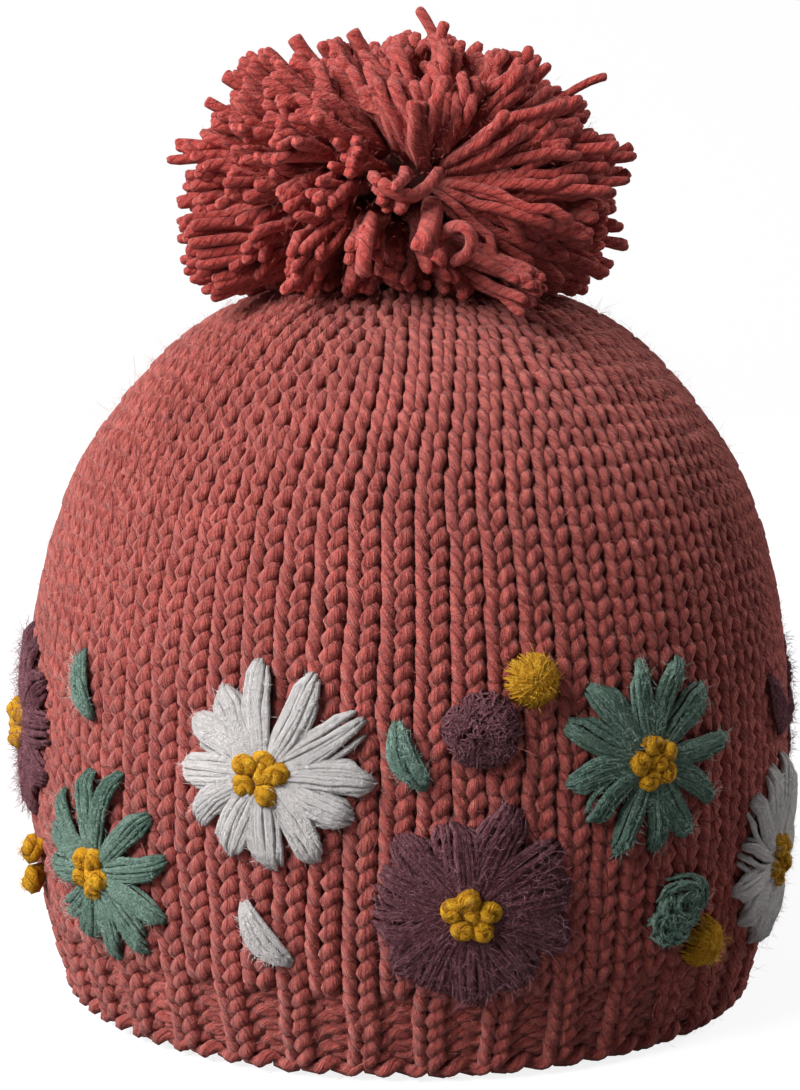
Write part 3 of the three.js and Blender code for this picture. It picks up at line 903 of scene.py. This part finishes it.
# Loose fibres that stand off the wool: how many, their length and girth in mm, and how far they curl aside
fuzz = {name: {"count": count, "long": long, "girth": girth, "curl": 0.45} for name, (count, long, girth) in {
    "knit": (8500, (1.0, 4.2), 0.03),
    "pompom": (5000, (1.0, 3.6), 0.033),
    "white": (1700, (0.8, 2.4), 0.034),
    "green": (1700, (1.0, 3.0), 0.036),
    "plum": (2400, (1.6, 4.4), 0.045),
    "dot": (460, (0.9, 2.6), 0.042),
    "knot": (180, (0.6, 1.8), 0.03),
}.items()}


def spindles(paths, guide, girth):
    # Fibres as long thin spindles: three corners round each inner point of a path, and one at either end
    count, points, _ = paths.shape
    run = unit(np.gradient(paths, axis=1))[:, 1:-1]
    side = np.arange(3)
    rings = roundSections(paths[:, 1:-1], run, guide, girth, fullTurn * side / 3)
    corners = np.concatenate([paths[:, :1], rings.reshape(count, -1, 3), paths[:, -1:]], 1)
    size = corners.shape[1]
    following = (side + 1) % 3
    root = np.stack([0 * side, 1 + following, 1 + side], -1)
    walls = 1 + ringQuads(points - 2, 3)
    tip = np.stack([size - 4 + side, size - 4 + following, 0 * side + size - 1], -1)
    first = (size * np.arange(count))[:, None, None]
    faces = [(group[None] + first).reshape(-1, group.shape[1]) for group in (root, walls, tip) if len(group)]
    return plainPart(corners.reshape(-1, 3), faces)


def fibres(start, heading, look, seed, points=3):
    # Each fibre leaves its start along its heading and curls aside by a random amount that grows with the
    # square of the way along. None goes below the hem.
    random = np.random.default_rng(seed)
    count = len(start)
    share = np.linspace(0, 1, points)[None, :, None]
    aside = random.normal(0, look["curl"], (count, 1, 3))
    long = random.uniform(*look["long"], (count, 1, 1))
    paths = start[:, None] + long * (heading[:, None] * share + aside * share**2)
    paths[..., 2] = np.maximum(paths[..., 2], 0.3)
    return spindles(paths, unit(random.normal(0, 1, (count, 1, 3))), look["girth"])


def lyingFibres(points, out, thick, look, seed):
    # Fibres that start on the strands and run on along them, a little off
    random = np.random.default_rng(seed)
    count = look["count"]
    strand = random.integers(0, points.shape[0], count)
    span = random.integers(1, points.shape[1] - 2, count)
    part = random.uniform(0, 1, (count, 1))
    start = points[strand, span] * (1 - part) + points[strand, span + 1] * part
    away = out[strand, span]
    run = unit(points[strand, span + 1] - points[strand, span])
    way = random.choice([-1, 1, 1], (count, 1))
    heading = unit(run * way + random.normal(0, 0.6, (count, 3)) + 0.2 * away)
    start = start + away * (thick[strand, span] * random.uniform(0.5, 1.0, count))[:, None]
    return fibres(start, heading, look, seed + 1)


def embroider(pieces, node, yarn, strands, look, seed):
    # The strands of a piece of embroidery and the loose fibres that lie on them, in the place of one node
    material, fibreMaterial, slotName, sides = yarnOf[yarn]
    makePiece(pieces[0], [sweep(*strands, sides)], material, [node])
    makePiece(pieces[1], [lyingFibres(*strands, look, seed)], fibreMaterial, [node])


print("embroidery:", len(daisies), "daisies")
for number, (name, (yarn, azimuth, height, turn)) in enumerate(daisies.items()):
    strands = petalStrands(yarn, azimuth, height, turn, seeds["petals"] + number)
    pieces = (f"{name}_petals", f"{name}_fuzz")
    embroider(pieces, f"daisy_{name}_petals", yarn, strands, fuzz[yarn], seeds["petalFuzz"] + number)
    spokes = fullTurn * (np.arange(knot["count"]) / knot["count"] + 0.05 * number)
    spots = np.concatenate([knot["ring"] * np.stack([np.cos(spokes), np.sin(spokes)], -1), [[0.2, 0.1]]])
    spots += np.random.default_rng(seeds["spots"] + number).normal(0, 0.28, spots.shape)
    strands = knots(spots, azimuth, height, seeds["knots"] + number)
    pieces = (f"{name}_centre", f"{name}_centre_fuzz")
    embroider(pieces, f"daisy_{name}_centre", "knot", strands, fuzz["knot"], seeds["centreFuzz"] + number)

# Dots: how they are made, yarn, azimuth, height of the middle, radius and how far they stand off the knit
dots = {
    "plum_dot": ("felted", "plum", 9.8, 79.5, 8.3, 3.0),
    "mustard_dot": ("tufted", "mustard", 16.8, 89.5, 5.9, 4.2),
    "green_rosette": ("coiled", "green", 40.2, 35.5, 8.0, 3.4),
    "mustard_dot_right": ("tufted", "mustard", 46.8, 26, 5.8, 4.2),
    "mustard_knots_left": ("knotted", "knot", 287.4, 34.6, 6.4, 4.4),
    "mustard_dot_back": ("tufted", "mustard", 148, 91, 5.9, 4.2),
    "plum_dot_back": ("felted", "plum", 166, 32, 6.0, 3.0),
    "green_rosette_back": ("coiled", "green", 223, 34, 6.0, 3.4),
}
# How thick the strands of a dot are, in mm, and how many a felted dot has
dotYarn = {"tufted": 0.32, "felted": 0.36, "coiled": 0.56}
feltStrands = 300
# How many strands each layer of a tufted dot has, where they start and end as shares of the radius, and how
# much higher the layer stands
tuftLayers = ((100, 0.34, 1.0, 0.0), (84, 0.2, 0.9, 0.04), (60, 0.08, 0.72, 0.07), (30, 0.0, 0.45, 0.1))
# How many strands each ring of a coiled dot has, its place to the right and up, and its size, as shares
coilRings = ((80, 0.14, 0.14, 0.5), (36, -0.52, -0.34, 0.3), (24, -0.02, -0.66, 0.26))


def joined(bundles):
    # Bundles of strands, each their points and ways out, as one
    return [np.concatenate(arrays) for arrays in zip(*bundles)]


def tuftedDot(azimuth, height, radius, stand, seed):
    # Short strands that spring from the middle of a dome and run out over it and down its rim, in layers
    random = np.random.default_rng(seed)
    share = np.array([0, 0.3, 0.6, 0.85, 1])
    layers = []
    for count, inner, outer, higher in tuftLayers:
        turn = (fullTurn * np.arange(count) / count + random.uniform(-0.1, 0.1, count))[:, None]
        off = inner + (outer * random.uniform(0.9, 1.04, (count, 1)) - inner) * share
        high = stand * (np.sqrt(np.clip(1 - off**2, 0, 1)) + higher * share)
        high = high + random.normal(0, 0.12, (count, 1)) - 0.9 * eased((share - 0.8) / 0.2)
        turn = turn + random.normal(0, 0.08, (count, 1)) * share
        across, rise = radius * off * np.cos(turn), radius * off * np.sin(turn)
        layers.append(laidOnKnit(across, rise, high, azimuth, height))
    points, out = joined(layers)
    shape = np.array([0.7, 1, 1.05, 1.0, 0.7])
    thick = dotYarn["tufted"] * random.uniform(0.85, 1.15, (len(points), 1)) * shape
    return points, out, thick


def feltedDot(azimuth, height, radius, stand, seed):
    # Short strands in every direction over a dome whose rim and height are uneven by sines of the way round
    random = np.random.default_rng(seed)
    count = feltStrands
    share = np.linspace(0, 1, 5)
    turn = random.uniform(0, fullTurn, (count, 1))
    off = radius * np.sqrt(random.uniform(0, 0.92, (count, 1)))
    clock = random.uniform(0, fullTurn, (count, 1))
    along = random.uniform(2.4, 5.0, (count, 1)) * (share - 0.5)
    side = random.normal(0, 0.8, (count, 1)) * np.sin(math.pi * share)
    across, rise = turned(along, side, turn)
    across, rise = across + off * np.cos(clock), rise + off * np.sin(clock)
    around = np.arctan2(rise, across)
    rim = radius * (1 + 0.05 * np.sin(3 * around + seed) + 0.04 * np.sin(5 * around))
    far = np.hypot(across, rise) / rim
    # What would lie past the rim is drawn in to it
    inward = np.minimum(1, 1 / np.maximum(far, 0.01))
    far = np.minimum(far, 1)
    high = stand * np.sqrt(1 - 0.96 * far**2) * (1 + 0.12 * np.sin(2 * around + 1)) - 0.4
    high = high + random.normal(0, 0.14, (count, 1))
    points, out = laidOnKnit(across * inward, rise * inward, high, azimuth, height)
    thick = dotYarn["felted"] * random.uniform(0.75, 1.2, (count, 1)) * np.array([0.5, 0.95, 1, 0.95, 0.5])
    return points, out, thick


def coiledDot(azimuth, height, radius, stand, seed):
    # Loose rings of strands: a large one and two smaller lobes at its lower left. Each strand is an arc of
    # its ring, off it by a random amount, and its height follows a round section across the ring.
    random = np.random.default_rng(seed)
    share = np.linspace(0, 1, 7)
    rings = []
    for count, across, rise, size in coilRings:
        turn = random.uniform(0, fullTurn, (count, 1)) + random.uniform(0.9, 2.2, (count, 1)) * share
        off = np.clip(random.normal(0, 0.55, (count, 1)) + random.normal(0, 0.7, (count, 1)) * share, -1, 1)
        away = radius * size * (1 + 0.72 * off) * (1 + 0.1 * np.sin(3 * turn + across))
        high = stand * (0.25 + 0.6 * np.sqrt(1 - 0.8 * off**2)) * (0.7 + 0.5 * size)
        high = high + random.normal(0, 0.3, (count, 1)) - 1.2 * (2 * share - 1)**6
        rings.append(laidOnKnit(radius * across + away * np.cos(turn), radius * rise + away * np.sin(turn),
                                high, azimuth, height))
    points, out = joined(rings)
    thick = dotYarn["coiled"] * random.uniform(0.8, 1.2, (len(points), 1)) * (1 - 0.3 * (2 * share - 1)**4)
    return points, out, thick


def knottedDot(azimuth, height, radius, stand, seed):
    # Two large knots, one above the other
    places = np.array([[0.2, 0.56 * radius], [-0.2, -0.56 * radius]])
    return knots(places, azimuth, height, seed, size=1.18, lift=0.7)


makers = {"tufted": tuftedDot, "felted": feltedDot, "coiled": coiledDot, "knotted": knottedDot}
print("dots and leaves")
for number, (name, (kind, yarn, *dot)) in enumerate(dots.items()):
    strands = makers[kind](*dot, seeds["dots"] + 2 * number)
    pieces = (f"{name}_stitched", f"{name}_fuzz")
    embroider(pieces, name, yarn, strands, fuzz["dot"], seeds["dotFuzz"] + 2 * number)

# Leaves: yarn, azimuth, height of the middle, length, width and lean to the right from upright, in degrees
leaves = {
    "leaf_green_front": ("green", -0.2, 74, 15.5, 5.6, -22),
    "leaf_white_front": ("white", -20.2, 33.6, 17, 6.2, -37),
    "leaf_green_left": ("green", 307.4, 82.6, 15.8, 4.7, -20),
    "leaf_plum_right": ("plum", 68, 73.5, 17, 5.6, -28),
    "leaf_green_back": ("green", 182, 76, 15.5, 5.6, 20),
    "leaf_white_back": ("white", 152, 33, 16, 6, 30),
    "leaf_green_back_left": ("green", 254, 76, 15.5, 5.6, -20),
}
leafShape = {"strands": 10, "bow": 1.6, "yarn": 0.56, "puff": 1.7, "dive": 1.2}


def leafStrands(azimuth, height, long, wide, lean, seed):
    # Strands side by side from one end of the leaf to the other, spread by a sine of the way along, bowed to
    # one side, and parted by a groove along the middle
    random = np.random.default_rng(seed)
    count = leafShape["strands"]
    share = np.array([0, 0.1, 0.25, 0.42, 0.58, 0.74, 0.89, 1])
    place = np.linspace(-1, 1, count)[:, None]
    along = long * (share - 0.5) * (1 - 0.04 * place**2) + random.normal(0, 0.2, (count, 1))
    spread = np.sin(math.pi * (0.09 + 0.84 * share**0.85)) ** 0.8
    side = place * (0.5 * wide - 0.3) * spread - leafShape["bow"] * np.sin(math.pi * share)
    side = side + random.normal(0, 0.16, (count, 1)) * np.sin(fullTurn * share) + 0.5 * leafShape["bow"]
    side = side + 0.35 * np.sign(place) * np.sin(math.pi * share)
    dome = np.sqrt(np.clip(1 - 0.8 * place**2, 0.05, 1)) - 0.3 * np.exp(-(place / 0.2)**2)
    high = 0.2 + leafShape["puff"] * dome * np.sin(math.pi * (0.08 + 0.84 * share)) ** 0.6
    high = high - leafShape["dive"] * (1 - np.sin(math.pi * np.clip(share, 0.001, 0.999)) ** 0.3)
    high = high + random.normal(0, 0.14, (count, 1))
    points, out = laidOnKnit(*turned(side, along, -math.radians(lean)), high, azimuth, height)
    thick = leafShape["yarn"] * random.uniform(0.85, 1.12, (count, 1))
    return points, out, thick * np.array([0.6, 0.9, 1.05, 1.1, 1.1, 1.05, 0.9, 0.6])


for number, (name, (yarn, *leaf)) in enumerate(leaves.items()):
    strands = leafStrands(*leaf, seeds["leaves"] + number)
    pieces = (f"{name}_stitched", f"{name}_fuzz")
    embroider(pieces, name, yarn, strands, fuzz["dot"], seeds["leafFuzz"] + 2 * number)

print("loose fibres")
# Over the knit they lean every way, and at least a little outwards
random = np.random.default_rng(seeds["fibres"])
amount = fuzz["knit"]["count"]
arc = fullArc * 0.9 * random.uniform(0, 1, amount) ** 0.9
turn = random.uniform(0, fullTurn, amount)
out = outwardAt(turn, arc)
heading = unit(0.3 * out + random.normal(0, 0.6, (amount, 3)))
heading = unit(heading + np.maximum(0, 0.06 - np.sum(heading * out, -1))[:, None] * out)
knitFuzz = fibres(onKnit(turn, arc, random.uniform(-2.2, -0.6, amount)), heading, fuzz["knit"],
                  seeds["fibres"] + 1)
# Long hairs that lie loosely on the knit
hairs = {"count": 300, "long": (4, 10), "curl": 0.35, "girth": 0.03, "points": 7}
arc = fullArc * random.uniform(0.03, 0.88, hairs["count"])
turn = random.uniform(0, fullTurn, hairs["count"])
out = outwardAt(turn, arc)
heading = random.normal(0, 1, out.shape)
heading = unit(unit(heading - np.sum(heading * out, -1, keepdims=True) * out) + 0.08 * out)
start = onKnit(turn, arc, random.uniform(-0.6, 0.4, len(arc)))
knitHairs = fibres(start, heading, hairs, seeds["fibres"] + 3, hairs["points"])
makePiece("knit_fuzz", [knitFuzz, knitHairs], roseFuzz, ["crown", "rib_band"])

amount = fuzz["pompom"]["count"]
spread = unit(sphere(amount) + random.normal(0, 0.05, (amount, 3)))
spread = spread[spread[:, 2] > -0.75]
depth = random.uniform(0.82, 0.98, (len(spread), 1))
start = pompom["centre"] + spread * pompom["reach"] * depth
heading = unit(0.7 * spread + random.normal(0, 0.6, spread.shape))
pompomFibres = fibres(start, heading, fuzz["pompom"], seeds["fibres"] + 2)
makePiece("pompom_fuzz", [pompomFibres], pompomFuzz, ["pompom"])

# Camera at the photograph's place, and soft studio light from the left
camera = addObject("camera", bpy.data.cameras.new("camera"))
camera.data.lens = view["lens"]
camera.data.sensor_width = 36
camera.data.clip_start = 0.01
camera.location = (view["side"] * mm, -view["distance"] * mm, view["height"] * mm)
camera.rotation_euler = (math.radians(90 - view["pitch"]), 0, 0)
bpy.context.scene.camera = camera

studio = {"aim": (0, 0, 0.1), "ambient": 0.2, "paper": 0.25, "paperGlow": 0.86}
lights = {
    "key": {"at": (-1.05, -0.72, 1.02), "size": 1.1, "power": 51},
    "rim": {"at": (1.0, 0.55, 0.7), "size": 0.8, "power": 9},
}
for name, light in lights.items():
    lamp = bpy.data.lights.new(name, "AREA")
    lamp.energy = light["power"]
    lamp.size = light["size"]
    holder = addObject(name, lamp)
    holder.location = light["at"]
    aim = unit(np.array(studio["aim"]) - light["at"])
    holder.rotation_euler = (math.acos(-aim[2]), 0, math.atan2(aim[1], aim[0]) - math.pi / 2)

world = bpy.data.worlds.new("studio")
world.use_nodes = True
world.node_tree.nodes["Background"].inputs["Color"].default_value = (1, 1, 1, 1)
world.node_tree.nodes["Background"].inputs["Strength"].default_value = studio["ambient"]
bpy.context.scene.world = world
bpy.context.scene.view_settings.view_transform = "Standard"

# White paper floor that curves up behind, a round bowl so that it closes every view. Sizes in metres.
bowl = {"inner": 0.6, "flat": 1.4, "bend": 0.8, "top": 3.2, "columns": 64}
bend = np.linspace(0.2, math.pi / 2, 8)
away = np.concatenate([[bowl["inner"], bowl["flat"]], bowl["flat"] + bowl["bend"] * np.sin(bend),
                       [bowl["flat"] + bowl["bend"]]])[:, None]
rise = np.concatenate([[0, 0], bowl["bend"] - bowl["bend"] * np.cos(bend), [bowl["top"]]])[:, None]
column = np.arange(bowl["columns"])
turn = fullTurn * column / bowl["columns"]
paperPoints = facing(turn, away, rise).reshape(-1, 3)
paperQuads = ringQuads(len(away), bowl["columns"])[:, ::-1]
fan = np.stack([0 * column + len(paperPoints), column, (column + 1) % bowl["columns"]], -1)
floorMesh = bpy.data.meshes.new("floor")
floorMesh.from_pydata(paperPoints.tolist() + [[0, 0, 0]], [], paperQuads.tolist() + fan.tolist())
floorMesh.polygons.foreach_set("use_smooth", np.ones(len(floorMesh.polygons), bool))
floor = addObject("floor", floorMesh)
paper, paperShader = principled("paper", {
    "Base Color": (*[studio["paper"]] * 3, 1), "Roughness": 0.95, "Specular IOR Level": 0,
    "Emission Color": (1, 1, 1, 1)})
# The paper glows a little where the camera sees it, and lights nothing by it
sight = paper.node_tree.nodes.new("ShaderNodeLightPath")
glow = paper.node_tree.nodes.new("ShaderNodeMath")
glow.operation = "MULTIPLY"
glow.inputs[1].default_value = studio["paperGlow"]
paper.node_tree.links.new(sight.outputs["Is Camera Ray"], glow.inputs[0])
paper.node_tree.links.new(glow.outputs[0], paperShader.inputs["Emission Strength"])
floorMesh.materials.append(paper)
